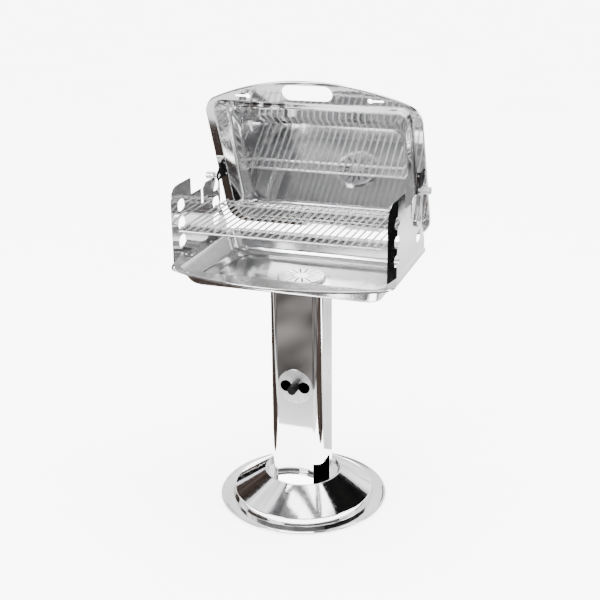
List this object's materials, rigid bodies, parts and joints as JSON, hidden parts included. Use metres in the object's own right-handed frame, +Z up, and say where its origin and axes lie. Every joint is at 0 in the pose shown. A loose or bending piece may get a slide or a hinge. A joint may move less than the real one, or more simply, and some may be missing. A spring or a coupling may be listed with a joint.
{
  "type": "barbecue_grill",
  "caption": "Free-standing pedestal charcoal barbecue in polished steel, with a hinged lid, wind panels, a lift-out grate and a column with an air damper",
  "frame": {"origin": "middle of the base's underside, on the floor", "axes": "+X to the user's right, +Y to the back, +Z up; the user stands at -Y"},
  "size_m": [0.5402, 0.4346, 0.9861],
  "materials": {
    "polished_sheet": "mirror polished stainless sheet",
    "spun_base": "satin, with fine turning lines",
    "chromed_wire": "bright plated wire",
    "dark_plastic": "dark heat-proof plastic",
    "fasteners": "bright zinc-plated steel"
  },
  "bodies": {
    "frame": {"base_cone": "spun_base", "base_floor": "spun_base", "column_front_shell": "polished_sheet", "column_rear_shell": "polished_sheet", "column_foot_nuts": "fasteners", "column_seam_screws": "fasteners", "column_seam_nuts": "fasteners", "fire_pan": "polished_sheet", "pan_bolts": "fasteners", "pan_nuts": "fasteners", "left_windshield": "polished_sheet", "right_windshield": "polished_sheet", "windshield_screws": "fasteners", "windshield_nuts": "fasteners", "pivot_bolts": "fasteners", "pivot_washers": "fasteners", "pivot_nuts": "fasteners"},
    "lid": {"lid": "polished_sheet", "left_lid_lug": "spun_base", "right_lid_lug": "spun_base", "lug_rivets": "fasteners", "left_lid_arm": "spun_base", "right_lid_arm": "spun_base", "lid_bolts": "fasteners", "lid_spacers": "fasteners"},
    "left_thumb_nut": {"left_thumb_nut": "fasteners"},
    "right_thumb_nut": {"right_thumb_nut": "fasteners"},
    "damper": {"damper_disc": "polished_sheet", "damper_knob": "dark_plastic", "damper_stud": "fasteners", "damper_washer": "fasteners", "damper_nut": "fasteners"},
    "fire_grate": {"fire_grate": "polished_sheet"},
    "cooking_grate": {"grate_bars": "chromed_wire", "grate_cross_wires": "chromed_wire"}
  },
  "joints": [
    {"name": "lid_hinge", "type": "hinge", "parent": "frame", "child": "lid", "pos_m": [0, 0.0624, 0.682], "axis": [1, 0, 0], "range_deg": [0, 67.5]},
    {"name": "left_nut_turn", "type": "hinge", "parent": "lid", "child": "left_thumb_nut", "pos_m": [-0.26, 0.10092, 0.7471], "axis": [1, 0, 0], "continuous": true},
    {"name": "right_nut_turn", "type": "hinge", "parent": "lid", "child": "right_thumb_nut", "pos_m": [0.26, 0.10092, 0.7471], "axis": [1, 0, 0], "continuous": true},
    {"name": "damper_turn", "type": "hinge", "parent": "frame", "child": "damper", "pos_m": [0, -0.05, 0.3], "axis": [0, 1, 0], "range_deg": [0, 90]},
    {"name": "grate_lift", "type": "slide", "parent": "frame", "child": "cooking_grate", "axis": [0, 0, 1], "range_m": [0, 0.02]},
    {"name": "fire_grate_lift", "type": "slide", "parent": "frame", "child": "fire_grate", "axis": [0, 0, 1], "range_m": [0, 0.09]}
  ]
}
